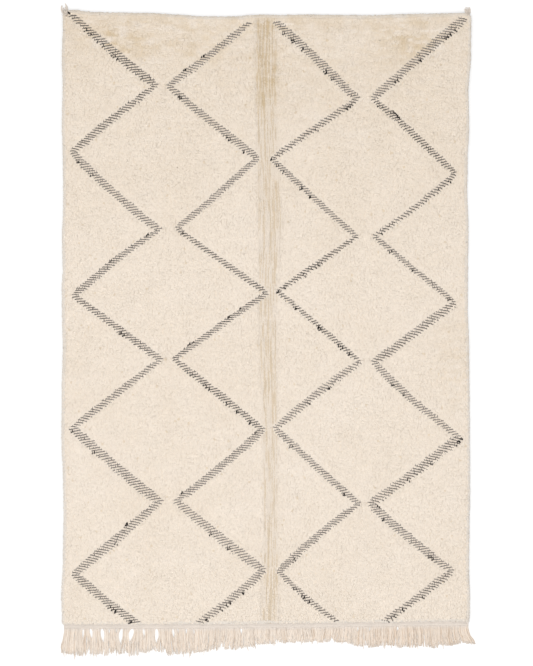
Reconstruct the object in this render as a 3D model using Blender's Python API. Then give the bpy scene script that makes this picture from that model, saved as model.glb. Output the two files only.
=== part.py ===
"""Hand-knotted wool rug with a flat-woven end, a warp fringe and two corner tassels.

The rug lies flat on z = 0 with the middle of its pile field at the origin. Its length
runs along Y and its fringed end is at -Y. All sizes are in metres.
"""

import math
import random
from collections import namedtuple

import bpy
from mathutils import Vector
from mathutils.geometry import delaunay_2d_cdt

# The knotted pile field.
PILE_WIDTH = 1.600
PILE_LENGTH = 2.400
PILE_THICKNESS = 0.020
CORNER_RADIUS = 0.016
PIECE_GAP = 0.0003

# Spacing of the points: round the rim, on the ring inside it, and over the lumpy top.
RIM_STEP = 0.016
INNER_RING_INSET = 0.036
LUMP_STEP = 0.056
TOP_GRID_INSET = INNER_RING_INSET + 0.6 * LUMP_STEP
UNDERSIDE_STEP = 0.200
UNDERSIDE_INSET = 0.100
STAGGER_SHARE = 0.25

# Small locks of pile at the rim, and broad soft lumps over the top.
LOCK_STAND_OUT = 0.0014
STAND_OUT_SHARES = (0.5, 1.2)
LOCK_SEED = 11
LUMP_HEIGHT = 0.0010

# The old lengthwise fold in the middle, where the pile has parted.
FOLD_HALF_WIDTH = 0.032
FOLD_DEPTH = 0.0030

# The flat-woven end and its fringe.
BAND_DEPTH = 0.021
BAND_THICKNESS = 0.0042
BAND_END_INSET = 0.006
FRINGE_LOCKS = 118
FRINGE_SEED = 29
LOCK_SHARE_OF_PITCH = 0.72
LOCK_STEPS = 4
LOCK_TOP_NARROWING = 0.66
LOCK_TAPER = 0.56
LOCK_THINNING = 0.45
LOCK_THICKNESSES = (0.0036, 0.0056)
LOCK_LENGTH_SHARES = (0.90, 1.0)
LOCK_WIDTH_SHARES = (0.85, 1.0)
LOCK_ROOT_SHARES = (0.92, 1.08)
LOCK_LEANS = (-0.0012, 0.0012)
LEAN_CURVE = 1.4
SWAY_TURN_ALONG = 5.5
STRIP_END_SHARE = 0.1
END_FLARE = 0.021
END_FLARE_REACH = 0.045

RimRow = namedtuple("RimRow", "inset height lock_share")
EdgeRow = namedtuple("EdgeRow", "along outward")
LengthRow = namedtuple("LengthRow", "along length")
WaveRow = namedtuple("WaveRow", "height across down turn")
FingerRow = namedtuple("FingerRow", "tip_along tip_out bow width height")

# From the floor up: the round selvedge, the crease above it, and the bulging pile.
RIM_PROFILE = [RimRow(*row) for row in (
    (0.0016, 0.0000, 0.0),
    (0.0000, 0.0024, 0.0),
    (0.0030, 0.0052, 0.5),
    (0.0016, 0.0110, 1.0),
    (0.0038, 0.0168, 1.0),
    (0.0105, 0.0196, 0.6),
)]

# How far each edge strays outwards from its straight line.
WEST_EDGE = [EdgeRow(*row) for row in (
    (-1.20, 0.0008), (-1.09, 0.0043), (-0.95, -0.0020), (-0.76, -0.0050),
    (-0.62, -0.0028), (-0.48, 0.0035), (-0.24, 0.0016), (-0.13, -0.0020),
    (0.00, 0.0008), (0.13, 0.0020), (0.18, -0.0018), (0.30, 0.0012),
    (0.47, -0.0039), (0.65, -0.0018), (0.75, 0.0024), (0.89, -0.0014),
    (1.02, 0.0020), (1.12, -0.0022), (1.20, 0.0000),
)]
EAST_EDGE = [EdgeRow(*row) for row in (
    (-1.20, 0.0024), (-1.12, 0.0028), (-1.00, -0.0008), (-0.88, 0.0002),
    (-0.66, 0.0035), (-0.38, 0.0022), (-0.10, -0.0004), (0.04, -0.0055),
    (0.20, -0.0055), (0.33, -0.0025), (0.52, -0.0080), (0.62, -0.0064),
    (0.75, 0.0002), (0.89, -0.0026), (1.03, 0.0066), (1.20, 0.0086),
)]
NORTH_EDGE = [EdgeRow(*row) for row in (
    (-0.80, 0.0100), (-0.71, 0.0067), (-0.58, 0.0047), (-0.46, 0.0018),
    (-0.34, -0.0043), (-0.27, -0.0105), (-0.15, -0.0113), (-0.02, -0.0040),
    (0.09, -0.0055), (0.14, -0.0030), (0.28, -0.0055), (0.42, -0.0067),
    (0.50, -0.0025), (0.61, -0.0004), (0.80, 0.0034),
)]
SOUTH_EDGE = [EdgeRow(*row) for row in (
    (-0.80, 0.0014), (-0.45, 0.0020), (-0.05, 0.0000), (0.15, -0.0024),
    (0.40, -0.0052), (0.62, -0.0086), (0.80, -0.0080),
)]

# Where the middle of the old fold runs, as its distance east of the rug's middle line.
FOLD_LINE = [EdgeRow(*row) for row in (
    (-1.20, 0.010), (-0.80, 0.021), (-0.40, 0.011), (-0.02, 0.006),
    (0.35, 0.018), (0.62, 0.013), (0.95, 0.008), (1.20, 0.019),
)]

# Length of the fringe below the flat-woven end.
FRINGE_LENGTH = [LengthRow(*row) for row in (
    (-0.80, 0.092), (-0.73, 0.105), (-0.55, 0.098), (-0.40, 0.076),
    (-0.35, 0.090), (-0.22, 0.083), (-0.15, 0.073), (-0.02, 0.064),
    (0.03, 0.050), (0.21, 0.054), (0.26, 0.040), (0.31, 0.061),
    (0.45, 0.070), (0.54, 0.073), (0.72, 0.066), (0.80, 0.052),
)]

# Soft swells of the lying rug: height of each, and its waves across, down and start.
SWELLS = [WaveRow(*row) for row in (
    (0.0009, 3.1, 2.3, 0.4),
    (0.0007, -5.3, 4.1, 1.9),
    (0.0006, 7.9, -6.7, 4.2),
)]
LUMPS = [WaveRow(*row) for row in (
    (1.00, 41.0, 17.0, 0.7),
    (0.80, -23.0, 37.0, 2.6),
    (0.70, 29.0, 44.0, 5.1),
)]

# Sideways sweep of the fringe, in metres at its tips.
SWEEPS = [WaveRow(*row) for row in (
    (0.0062, 11.0, 0.0, 0.9),
    (0.0034, 27.0, 0.0, 3.7),
)]
SWAY = WaveRow(0.0026, 17.0, 0.0, 2.2)

# Corner tassels: the fingers of each, from its head's middle, along and out of the head.
LEFT_FINGERS = [FingerRow(*row) for row in (
    (-0.0110, 0.0180, -0.0012, 0.0046, 0.0052),
    (0.0000, 0.0250, 0.0014, 0.0046, 0.0060),
    (0.0105, 0.0165, 0.0010, 0.0042, 0.0050),
)]
RIGHT_FINGERS = [FingerRow(*row) for row in (
    (-0.0110, 0.0170, -0.0010, 0.0038, 0.0050),
    (-0.0052, 0.0205, 0.0008, 0.0038, 0.0058),
    (0.0004, 0.0190, -0.0008, 0.0038, 0.0062),
    (0.0060, 0.0215, 0.0010, 0.0038, 0.0056),
    (0.0118, 0.0165, 0.0010, 0.0038, 0.0050),
)]
TasselPlace = namedtuple("TasselPlace", "east north heading back_width front_width depth")
LEFT_TASSEL = TasselPlace(-0.7935, 1.2105, math.radians(106.0), 0.0090, 0.0155, 0.0110)
RIGHT_TASSEL = TasselPlace(0.7945, 1.2046, math.radians(84.0), 0.0095, 0.0210, 0.0130)
TASSEL_THICKNESS = 0.0060
FINGER_GAP_SHARE = 0.12
FINGER_STEPS = 3
FINGER_TAPER = 0.45
FINGER_THINNING = 0.40

# Edges sharper than this stay crisp in the shading, in degrees.
CREASE_ANGLE = 40.0

# Finish of each yarn: colour as linear red, green and blue, and roughness.
IVORY_WOOL = ((0.80, 0.72, 0.61), 0.92)
WARP_YARN = ((0.72, 0.63, 0.54), 0.88)


def smooth_between(rows, place):
    """Value of a two-column table at a place, eased between its rows."""
    if place <= rows[0][0]:
        return rows[0][1]
    for low, high in zip(rows, rows[1:]):
        if place <= high[0]:
            share = (place - low[0]) / (high[0] - low[0])
            eased = share * share * (3.0 - 2.0 * share)
            return low[1] + (high[1] - low[1]) * eased
    return rows[-1][1]


def wave_sum(rows, x, y):
    """Sum of the waves of a table at a place of the plan."""
    return sum(row.height * math.sin(row.across * x + row.down * y + row.turn) for row in rows)


def settle(x, y):
    """Where a point of the straight-edged plan lies on the real rug with its uneven edges."""
    half_width = PILE_WIDTH / 2
    half_length = PILE_LENGTH / 2
    east = max(x / half_width, 0.0) * smooth_between(EAST_EDGE, y)
    west = max(-x / half_width, 0.0) * smooth_between(WEST_EDGE, y)
    north = max(y / half_length, 0.0) * smooth_between(NORTH_EDGE, x)
    south = max(-y / half_length, 0.0) * smooth_between(SOUTH_EDGE, x)
    return x + east - west, y + north - south


def pile_swell(x, y):
    """Height of the pile's top above its mean: swells, lumps and the old fold's trough."""
    swell = wave_sum(SWELLS, x, y) + LUMP_HEIGHT * wave_sum(LUMPS, x, y)
    off_fold = (x - smooth_between(FOLD_LINE, y)) / FOLD_HALF_WIDTH
    return swell - FOLD_DEPTH * math.exp(-off_fold * off_fold)


def rim_plan():
    """Points and outward directions round the straight-edged plan, anticlockwise."""
    points = []
    reach_x = PILE_WIDTH / 2 - CORNER_RADIUS
    reach_y = PILE_LENGTH / 2 - CORNER_RADIUS
    corners = ((reach_x, -reach_y), (reach_x, reach_y), (-reach_x, reach_y), (-reach_x, -reach_y))
    for turn, (centre_x, centre_y) in enumerate(corners):
        start = math.radians(90.0 * turn - 90.0)
        arc_steps = max(2, round(CORNER_RADIUS * math.pi / 2 / (RIM_STEP / 2)))
        for step in range(arc_steps + 1):
            angle = start + math.pi / 2 * step / arc_steps
            outward = Vector((math.cos(angle), math.sin(angle)))
            points.append((Vector((centre_x, centre_y)) + outward * CORNER_RADIUS, outward))
        side = 2 * (reach_y if turn % 2 == 0 else reach_x)
        side_steps = round(side / RIM_STEP)
        first, outward = points[-1]
        forward = Vector((-outward.y, outward.x))
        for step in range(1, side_steps):
            points.append((first + forward * side * step / side_steps, outward))
    return points


def rim_rings():
    """The rings of the rim from the floor up, each a list of points of the lying rug."""
    draw = random.Random(LOCK_SEED)
    plan = rim_plan()
    stand_out = [LOCK_STAND_OUT * (1 if step % 2 else -1) * draw.uniform(*STAND_OUT_SHARES)
                 for step in range(len(plan))]
    rings = []
    for row in RIM_PROFILE:
        ring = []
        for (point, outward), lock in zip(plan, stand_out):
            moved = point - outward * (row.inset - lock * row.lock_share)
            height = row.height
            if row is RIM_PROFILE[-1]:
                height += pile_swell(moved.x, moved.y)
            ring.append(Vector((*settle(moved.x, moved.y), height)))
        rings.append(ring)
    return rings


def grid_points(step, inset):
    """Staggered points over the straight-edged plan, kept inside its rim by an inset."""
    half_x = PILE_WIDTH / 2 - inset
    half_y = PILE_LENGTH / 2 - inset
    columns = round(2 * half_x / step)
    rows = round(2 * half_y / step)
    points = []
    for row in range(rows + 1):
        shift = STAGGER_SHARE if row % 2 else -STAGGER_SHARE
        y = half_y * (2 * row / rows - 1)
        for column in range(columns + 1):
            across = min(max(column + shift, 0), columns)
            points.append((half_x * (2 * across / columns - 1), y))
    return points


def inner_ring():
    """Every second rim point moved inwards, between the fine rim and the coarser top."""
    return [tuple(point - outward * INNER_RING_INSET) for point, outward in rim_plan()[::2]]


def add_sheet(verts, faces, ring_indices, inside, facing_up):
    """Triangulate a ring and the points inside it, and add the triangles."""
    plan = [Vector(verts[index][:2]) for index in ring_indices]
    plan += [Vector(point[:2]) for point in inside]
    indices = list(ring_indices) + list(range(len(verts), len(verts) + len(inside)))
    verts.extend(inside)
    outline = [list(range(len(ring_indices)))]
    merge_distance = 1e-6
    triangles_inside_outline = 1
    found = delaunay_2d_cdt(plan, [], outline, triangles_inside_outline, merge_distance)
    for triangle in found[2]:
        corners = [indices[found[3][corner][0]] for corner in triangle]
        faces.append(corners if facing_up else corners[::-1])


def pile_field():
    """The knotted field: one slab with a woven rim, a lumpy top and a flat underside."""
    rings = rim_rings()
    count = len(rings[0])
    verts = [point for ring in rings for point in ring]
    faces = []
    for low in range(len(rings) - 1):
        for step in range(count):
            ahead = (step + 1) % count
            faces.append((low * count + step, low * count + ahead,
                          (low + 1) * count + ahead, (low + 1) * count + step))
    top = []
    for x, y in inner_ring() + grid_points(LUMP_STEP, TOP_GRID_INSET):
        top.append(Vector((*settle(x, y), PILE_THICKNESS + pile_swell(x, y))))
    underside = []
    for x, y in grid_points(UNDERSIDE_STEP, UNDERSIDE_INSET):
        underside.append(Vector((*settle(x, y), 0.0)))
    last = (len(rings) - 1) * count
    add_sheet(verts, faces, range(last, last + count), top, facing_up=True)
    add_sheet(verts, faces, range(count), underside, facing_up=False)
    return verts, faces


def lock_ring(place, heading, half_width, height):
    """The four corners of a lock's cross-section, flat on the floor, narrower above."""
    side = Vector((-heading.y, heading.x))
    low_left = place - side * half_width
    low_right = place + side * half_width
    high_left = place - side * half_width * LOCK_TOP_NARROWING
    high_right = place + side * half_width * LOCK_TOP_NARROWING
    return [Vector((*low_left, 0.0)), Vector((*low_right, 0.0)),
            Vector((*high_right, height)), Vector((*high_left, height))]


def add_lock(verts, faces, root, spine):
    """A lock drawn out of the face whose corners are root, along the rows of its spine."""
    before = root
    for place, heading, half_width, height in spine:
        after = list(range(len(verts), len(verts) + 4))
        verts.extend(lock_ring(place, heading, half_width, height))
        for side in range(4):
            ahead = (side + 1) % 4
            faces.append((before[side], before[ahead], after[ahead], after[side]))
        before = after
    faces.append(tuple(before))


def strip_with_locks(back, front, thickness, spines):
    """A flat strip from a back line to a front line, with a lock from every second cell."""
    verts = []
    for back_point, front_point in zip(back, front):
        verts += [Vector((*back_point, 0.0)), Vector((*back_point, thickness)),
                  Vector((*front_point, thickness)), Vector((*front_point, 0.0))]
    back_low, back_high, front_high, front_low = range(4)
    faces = [(back_low, front_low, front_high, back_high)]
    for cell in range(len(back) - 1):
        here = 4 * cell
        after = here + 4
        faces.append((here + back_high, here + front_high, after + front_high, after + back_high))
        faces.append((here + back_low, after + back_low, after + front_low, here + front_low))
        faces.append((here + back_low, here + back_high, after + back_high, after + back_low))
        front_face = (here + front_low, after + front_low, after + front_high, here + front_high)
        if cell % 2:
            add_lock(verts, faces, front_face, spines[cell // 2])
        else:
            faces.append(front_face)
    end = 4 * (len(back) - 1)
    faces.append((end + back_low, end + back_high, end + front_high, end + front_low))
    return verts, faces


def fringe_spine(root, draw):
    """Places, headings, half widths and heights along one lock of the warp fringe."""
    length = smooth_between(FRINGE_LENGTH, root.x) * draw.uniform(*LOCK_LENGTH_SHARES)
    half_pitch = (PILE_WIDTH / 2 - BAND_END_INSET) / FRINGE_LOCKS
    from_end = PILE_WIDTH / 2 - BAND_END_INSET - abs(root.x)
    flare = math.copysign(END_FLARE * math.exp(-from_end / END_FLARE_REACH), root.x)
    lean = flare + wave_sum(SWEEPS, root.x, 0.0) + draw.uniform(*LOCK_LEANS)
    fullness = draw.uniform(*LOCK_WIDTH_SHARES)
    belly = draw.uniform(*LOCK_THICKNESSES)

    def place(share):
        turn = SWAY.across * root.x + SWAY.turn + SWAY_TURN_ALONG * share
        sway = SWAY.height * math.sin(turn) * share
        return root + Vector((lean * share ** LEAN_CURVE + sway, -length * share))

    half_step = 0.5 / LOCK_STEPS
    spine = []
    for step in range(1, LOCK_STEPS + 1):
        share = step / LOCK_STEPS
        heading = (place(share) - place(share - half_step)).normalized()
        half_width = half_pitch * LOCK_SHARE_OF_PITCH * fullness * (1.0 - LOCK_TAPER * share ** 2)
        spine.append((place(share), heading, half_width, belly * (1.0 - LOCK_THINNING * share)))
    return spine


def kilim_end_fringe():
    """The flat-woven end beyond the pile, with the warps falling from it as locks."""
    draw = random.Random(FRINGE_SEED)
    west_end = -PILE_WIDTH / 2 + BAND_END_INSET
    pitch = (PILE_WIDTH - 2 * BAND_END_INSET) / FRINGE_LOCKS
    back = []
    front = []
    spines = []
    for lock in range(FRINGE_LOCKS):
        middle = west_end + pitch * (lock + 0.5)
        half_root = pitch * LOCK_SHARE_OF_PITCH / 2 * draw.uniform(*LOCK_ROOT_SHARES)
        edges = (middle - half_root, middle + half_root)
        if lock == 0:
            edges = (west_end + pitch * STRIP_END_SHARE, middle + half_root)
        for x in edges:
            back.append(Vector((x, settle(x, -PILE_LENGTH / 2)[1] - PIECE_GAP)))
            front.append(back[-1] - Vector((0.0, BAND_DEPTH)))
        root = (front[-2] + front[-1]) / 2
        spines.append(fringe_spine(root, draw))
    end_step = Vector((pitch * STRIP_END_SHARE, 0.0))
    for line in (back, front):
        line.insert(0, line[0] - end_step)
        line.append(line[-1] + end_step)
    return strip_with_locks(back, front, BAND_THICKNESS, spines)


def corner_tassel(place, fingers):
    """A small tassel of selvedge yarn: a flat head with loose fingers at its far side."""
    out = Vector((math.cos(place.heading), math.sin(place.heading)))
    along = Vector((-out.y, out.x))
    start = Vector((place.east, place.north))
    cell = 1.0 / len(fingers)
    back = []
    front = []
    shares = [0.0]
    for finger in range(len(fingers)):
        shares += [cell * (finger + FINGER_GAP_SHARE), cell * (finger + 1 - FINGER_GAP_SHARE)]
    shares.append(1.0)
    for share in shares:
        back.append(start + along * place.back_width * (share - 0.5))
        front.append(start + out * place.depth + along * place.front_width * (share - 0.5))
    middle = start + out * place.depth
    spines = []
    for number, finger in enumerate(fingers):
        root = (front[2 * number + 1] + front[2 * number + 2]) / 2
        tip = middle + along * finger.tip_along + out * finger.tip_out
        spines.append(finger_spine(root, tip, along, finger))
    return strip_with_locks(back, front, TASSEL_THICKNESS, spines)


def finger_spine(root, tip, along, finger):
    """Places, headings, half widths and heights along one finger of a tassel."""
    spine = []
    heading = (tip - root).normalized()
    for step in range(1, FINGER_STEPS + 1):
        share = step / FINGER_STEPS
        place = root.lerp(tip, share) + along * finger.bow * math.sin(math.pi * share)
        half_width = finger.width / 2 * (1.0 - FINGER_TAPER * share)
        spine.append((place, heading, half_width, finger.height * (1.0 - FINGER_THINNING * share)))
    return spine


def yarn_material(name, finish):
    """A plain rough finish in one yarn's colour."""
    colour, roughness = finish
    material = bpy.data.materials.new(name)
    material.use_nodes = True
    shader = material.node_tree.nodes["Principled BSDF"]
    shader.inputs["Base Color"].default_value = (*colour, 1.0)
    shader.inputs["Roughness"].default_value = roughness
    shader.inputs["Metallic"].default_value = 0.0
    return material


def add_piece(name, shape, finish):
    """Make one piece of the rug from its points and faces."""
    verts, faces = shape
    mesh = bpy.data.meshes.new(name)
    mesh.from_pydata([tuple(point) for point in verts], [], [tuple(face) for face in faces])
    mesh.materials.append(yarn_material(name, finish))
    mesh.validate()
    mesh.shade_smooth()
    mesh.set_sharp_from_angle(angle=math.radians(CREASE_ANGLE))
    piece = bpy.data.objects.new(name, mesh)
    bpy.context.scene.collection.objects.link(piece)


def build():
    """Clear the scene and make every piece."""
    for old in list(bpy.data.objects):
        bpy.data.objects.remove(old, do_unlink=True)
    add_piece("pile_field", pile_field(), IVORY_WOOL)
    add_piece("kilim_end_fringe", kilim_end_fringe(), WARP_YARN)
    add_piece("corner_tassel_left", corner_tassel(LEFT_TASSEL, LEFT_FINGERS), WARP_YARN)
    add_piece("corner_tassel_right", corner_tassel(RIGHT_TASSEL, RIGHT_FINGERS), WARP_YARN)


build()
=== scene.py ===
"""Ivory hand-knotted wool rug with a charcoal diamond lattice, a woven end and a warp fringe.

The rug lies on z = 0 with the middle of its pile field at the origin. Its length runs
along Y and its fringed end is at -Y. Sizes are in metres and angles in degrees.
"""

import math
from collections import namedtuple
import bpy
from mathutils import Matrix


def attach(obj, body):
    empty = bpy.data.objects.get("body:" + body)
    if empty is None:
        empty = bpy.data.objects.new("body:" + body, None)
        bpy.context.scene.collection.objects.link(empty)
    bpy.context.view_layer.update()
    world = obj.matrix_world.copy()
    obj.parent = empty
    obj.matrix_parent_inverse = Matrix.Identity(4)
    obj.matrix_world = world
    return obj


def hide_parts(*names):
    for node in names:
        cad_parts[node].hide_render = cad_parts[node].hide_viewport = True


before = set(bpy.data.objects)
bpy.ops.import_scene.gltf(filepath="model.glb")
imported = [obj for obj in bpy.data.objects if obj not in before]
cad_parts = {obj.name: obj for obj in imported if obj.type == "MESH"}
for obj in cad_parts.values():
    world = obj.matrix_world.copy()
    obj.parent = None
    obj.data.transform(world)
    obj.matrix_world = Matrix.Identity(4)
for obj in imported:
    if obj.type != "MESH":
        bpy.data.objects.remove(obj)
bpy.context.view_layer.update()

from types import SimpleNamespace as Measures

import bpy
import numpy as np
from mathutils import Vector
from mathutils.bvhtree import BVHTree


def table(columns, lengths, rows):
    """Rows with named columns, of which the first few are lengths given in millimetres."""
    named = namedtuple("Row", columns)
    return [named(*(value / 1000 for value in row[:lengths]), *row[lengths:]) for row in rows]


# Smooth noise, an eased rise and a sine.
Noise = namedtuple("Noise", "amount size seed squash", defaults=(1.0,))
Ramp = namedtuple("Ramp", "amount start length")
Wave = namedtuple("Wave", "height across turn")
NOISE_CELLS = 97
NOISE_START = 1000.5
UP = np.array([0.0, 0.0, 1.0])
SEEDS = Measures(pile=3, fringe=4, left_tassel=5, right_tassel=6, band=71, selvedge=81)

# The camera over the rug with the photograph's frame, and the studio.
CAMERA = Measures(
    lens=85.0, sensor=36.0, east=0.003, north=-0.056, pixels_high=666, metres_a_pixel=0.00393)
STUDIO = Measures(
    surround=0.80, softbox=4.5, power=260.0, place=(-0.7, -1.0, 7.5), floor_half=20.0,
    floor_drop=0.0004, floor_white=(0.93, 0.93, 0.93))

# The pile field's straight-edged plan, as in the solids, the swell of its far edge at one
# corner, and the lines that find the solid's edges and top.
HALF_WIDTH = 0.800
HALF_LENGTH = 1.200
PILE_HEIGHT = 0.020
CORNER_RADIUS = 0.024
PIECE_GAP = 0.0003
FLOOR_GAP = 0.0001
SWELL = Measures(east=-0.752, reach=0.036, rise=0.0070)
PROBES = Measures(
    inset=0.02, along_side=121, along_end=81, height=0.0022, beside=1.0, beyond=1.4, above=0.1)

# The knotted ground: its grid, how fine its fibres are, its tone, and its rounded rim. Its tone
# is held near the wool's darker root colour, as painted shade deep between the locks.
GROUND = Measures(
    height=0.0150, top_inset=0.0085, columns=66, rows=98, fibres=110.0, tip=0.1, strand=0.5,
    age=0.1)
GROUND_RIM = table("inset height", 0, [
    (0.0014, 0.0000), (0.0002, 0.0016), (0.0014, 0.0044), (0.0028, 0.0070),
    (0.0042, 0.0092), (0.0060, 0.0115),
])

# The usual size of a lock of pile, widest at its belly, a share of the way along, where it
# has risen by the share hump. Its tip droops from its full rise by the share droop.
LockForm = namedtuple("LockForm", "reach rise belly hump width thickness droop")
FIELD_LOCK = LockForm(0.0120, 0.0054, 0.72, 0.96, 0.0096, 0.0044, 0.50)
FOLD_LOCK = LockForm(0.0128, 0.0046, 0.74, 0.96, 0.0048, 0.0028, 0.40)
BETWEEN_LOCK = LockForm(0.0140, 0.0054, 0.88, 0.90, 0.0056, 0.0030, 0.0)
DARK_LOCK = LockForm(0.0140, 0.0054, 0.88, 0.90, 0.0048, 0.0030, 0.0)
SPECK_LOCK = LockForm(0.0142, 0.0068, 0.84, 0.90, 0.0052, 0.0040, 0.05)
LOW_RIM_LOCK = LockForm(0.0046, 0.0078, 0.72, 0.80, 0.0080, 0.0044, 0.30)
MIDDLE_RIM_LOCK = LockForm(0.0058, 0.0076, 0.72, 0.80, 0.0084, 0.0044, 0.35)
HIGH_RIM_LOCK = LockForm(0.0066, 0.0064, 0.72, 0.85, 0.0088, 0.0044, 0.40)
TOP_RIM_LOCK = LockForm(0.0084, 0.0056, 0.72, 0.92, 0.0094, 0.0044, 0.48)

# How a lock's measures vary: by a share of the scatter, or evenly where that is 0.
LOCK_SCATTER = 0.16
VARIATION = table("measure share least most", 0, [
    ("belly", 0, 0.93, 1.07), ("hump", 0, 0.93, 1.07), ("reach", 1, 0.5, 1.5),
    ("rise", 0.4, 0.6, 1.3), ("width", 0.6, 0.6, 1.4), ("thickness", 0, 0.85, 1.15),
    ("droop", 0, 0.6, 1.4),
])

# A lock's points: two at its root, two at the belly's sides, which hang lower the more the
# tip droops, one on the ridge between them, and the tip. Softness turns the shading up.
BUILD = Measures(
    root_depth=0.0015, root_width=0.80, curl=0.20, ridge=0.42, ridge_shift=0.35, hang=0.48,
    droop_hang=0.9)
LOCK_QUADS = np.array([(0, 2, 3, 1)])
LOCK_TRIANGLES = np.array([(2, 5, 3), (0, 4, 2), (0, 1, 4), (1, 3, 4), (2, 4, 5), (4, 3, 5)])
LOCK_HIDDEN = np.array([True, False, False, False, False, False])
LOCK_ALONG = [0.0, 0.0, 0.60, 0.60, 0.65, 1.0]
LOCK_ACROSS = [1.0, -1.0, 1.0, -1.0, 0.0, 0.0]
PILE_SOFTNESS = 0.70
LATTICE_SOFTNESS = 0.50
RIM_SOFTNESS = 0.50

# The field's knotted rows, which lean to the fringe and drift over hand-wide patches.
PILE = Measures(
    row_pitch=0.0080, column_pitch=0.0078, side_inset=0.0130, north_inset=0.0062,
    south_inset=0.0120, side_room=0.8, jitter_across=0.14, jitter_along=0.13, lean_scatter=16.0,
    fleck_share=0.004, fleck_age=0.35, strips=4)
ROWS = np.arange(-HALF_LENGTH + PILE.south_inset, HALF_LENGTH - PILE.north_inset, PILE.row_pitch)
LEAN_DRIFT = Noise(13.0, 0.14, 21)
LUMPS = (Noise(0.0005, 0.035, 31), Noise(0.0003, 0.012, 32, 0.3))

# Locks near an edge turn outward and are shorter and lower.
EDGE = Measures(blend=0.022, outward=1.1, held=0.4, shorter=0.55, south_shorter=0.25, lower=0.10)

# Rings of locks round the rim, in a greyer, darker wool that is painted shade
# on the pile's rounded edge.
RIM = Measures(
    spacing=0.52, start=0.004, outward=68.0, across_scatter=0.0006, along_scatter=0.0010,
    turn_scatter=16, south_reach=1.30, south_rise=0.80)
SOUTH_RIM_UNEVEN = Noise(0.40, 0.025, 33)
RIM_RINGS = table("inset height form", 0, [
    (0.0055, 0.0045, LOW_RIM_LOCK), (0.0078, 0.0080, MIDDLE_RIM_LOCK),
    (0.0095, 0.0125, HIGH_RIM_LOCK), (0.0128, 0.0145, TOP_RIM_LOCK),
])

# The old lengthwise fold, where the pile has parted in fine lines, painted yellower and darker:
# partly the wool's yellowed roots showing, partly painted shade in the partings. Its middle and
# how far the lines reach to either side.
LINES = Measures(
    pitch=0.0031, margin=0.004, each_side=18, turn_scatter=4.0, age=0.40, length=0.070,
    sunk=0.0002, shown=0.10, edge=0.8, fade=4)
LINE_WANDER = Noise(0.0024, 1.0, 40)
LINE_SHOWS = Noise(2.4, 1.0, 50)
FOLD = table("north east half", 3, [
    (-1190, 19, 36), (-1100, 19, 40), (-870, 19, 25), (-610, 19, 28), (-360, 16, 28),
    (-100, 9, 33), (150, 10, 38), (410, 16, 49), (660, 6, 40), (920, 1, 44), (1190, 1, 44),
])

# How yellowed the wool is, from 0 to 1: all over, in the fold and in stains; the wool is also
# drawn yellower and darker towards the far end.
AGE_ALL_OVER = 0.13
AGE_BROAD = Noise(0.03, 0.21, 5)
AGE_PATCHY = Noise(0.03, 0.07, 6)
FAR_END_TONE = Ramp(0.07, -0.4, 1.6)
STREAKS = Noise(1.0, 0.009, 9, 0.2)
STREAKS_AGE = 0.02
STREAKS_FAR_END = Ramp(0.04, 0.5, 0.5)
STAIN_PATCHES = Noise(0.6, 0.05, 7)
STAIN_STREAKS = Noise(1.5, 0.011, 11, 0.4)
FOLD_AGE = 0.01
FOLD_UNEVEN = Noise(0.35, 0.10, 8, 6)
STAINS = table("east north across along amount", 4, [
    (-600, 1110, 160, 50, 0.20), (-520, 1060, 100, 40, 0.12), (570, 1090, 120, 70, 0.24),
    (0, 1170, 900, 35, 0.10), (740, -170, 80, 200, 0.10), (50, 1000, 500, 250, 0.05),
    (-280, 1080, 120, 50, 0.12), (10, 980, 50, 160, 0.12),
])

# The lattice's four zigzags. Each row is a turn of the line and the strokes of the arm that
# leaves it: their length, how far the arm bows east, how many degrees the strokes fall to
# the east, how dark their east or, below zero, west ends are, and how worn the charcoal is.
ZIGZAGS = [table("east north stroke bow fall specks worn", 4, rows) for rows in (
    (
        (-763, 1180, 40, 0, -7, -0.50, 0.45), (-436, 915, 30, -3, 11, -0.15, 0.40),
        (-762, 647, 36, -14, -7, -0.15, 0.80), (-422, 349, 32, -16, 6, -0.05, 0.70),
        (-751, 89, 37, 0, -3, -0.10, 0.56), (-415, -162, 29, -1, 13, -0.05, 0.68),
        (-755, -429, 46, -6, -8, -0.50, 0.76), (-421, -720, 36, 0, 14, -0.10, 0.68),
        (-752, -1003, 42, -5, -4, -0.55, 0.60), (-506, -1196, 0, 0, 0, 0, 0.50),
    ),
    (
        (-63, 1172, 28, -2, 13, -0.25, 0.80), (-382, 915, 34, 5, -6, -0.15, 0.76),
        (-33, 632, 28, -2, 6, -0.05, 0.90), (-348, 357, 25, 0, -6, -0.10, 0.48),
        (3, 101, 30, -1, 4, -0.05, 0.62), (-361, -158, 29, 6, -8, -0.15, 0.42),
        (-16, -437, 33, 15, 8, -0.10, 0.78), (-352, -716, 38, -7, -11, -0.25, 0.96),
        (-12, -990, 30, 14, 12, 0.45, 0.85), (-262, -1195, 0, 0, 0, 0, 0.50),
    ),
    (
        (38, 1174, 32, 2, -9, -0.45, 0.82), (360, 868, 25, 0, 11, 0.15, 0.52),
        (26, 632, 24, -6, -4, -0.15, 0.90), (359, 325, 24, 3, 8, 0.05, 0.26),
        (47, 109, 19, 1, -10, -0.10, 0.34), (370, -170, 28, -10, 14, 0.20, 0.80),
        (35, -433, 27, 0, -6, -0.30, 0.82), (363, -732, 32, -14, 3, 0.10, 0.82),
        (52, -995, 21, -11, -6, -0.35, 0.64), (281, -1196, 0, 0, 0, 0, 0.50),
    ),
    (
        (770, 1181, 37, 1, 11, 0.50, 0.78), (422, 871, 24, 3, -11, -0.10, 0.28),
        (749, 569, 23, 14, 15, 0.15, 0.48), (428, 325, 23, 2, -3, -0.10, 0.82),
        (746, 62, 37, -1, 12, 0.15, 0.50), (426, -174, 28, -15, -9, -0.10, 0.98),
        (754, -469, 40, 8, 12, 0.20, 0.58), (413, -732, 36, -10, -6, -0.20, 0.96),
        (728, -999, 32, 8, 10, 0.50, 0.60), (463, -1197, 0, 0, 0, 0, 0.50),
    ),
)]
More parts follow.
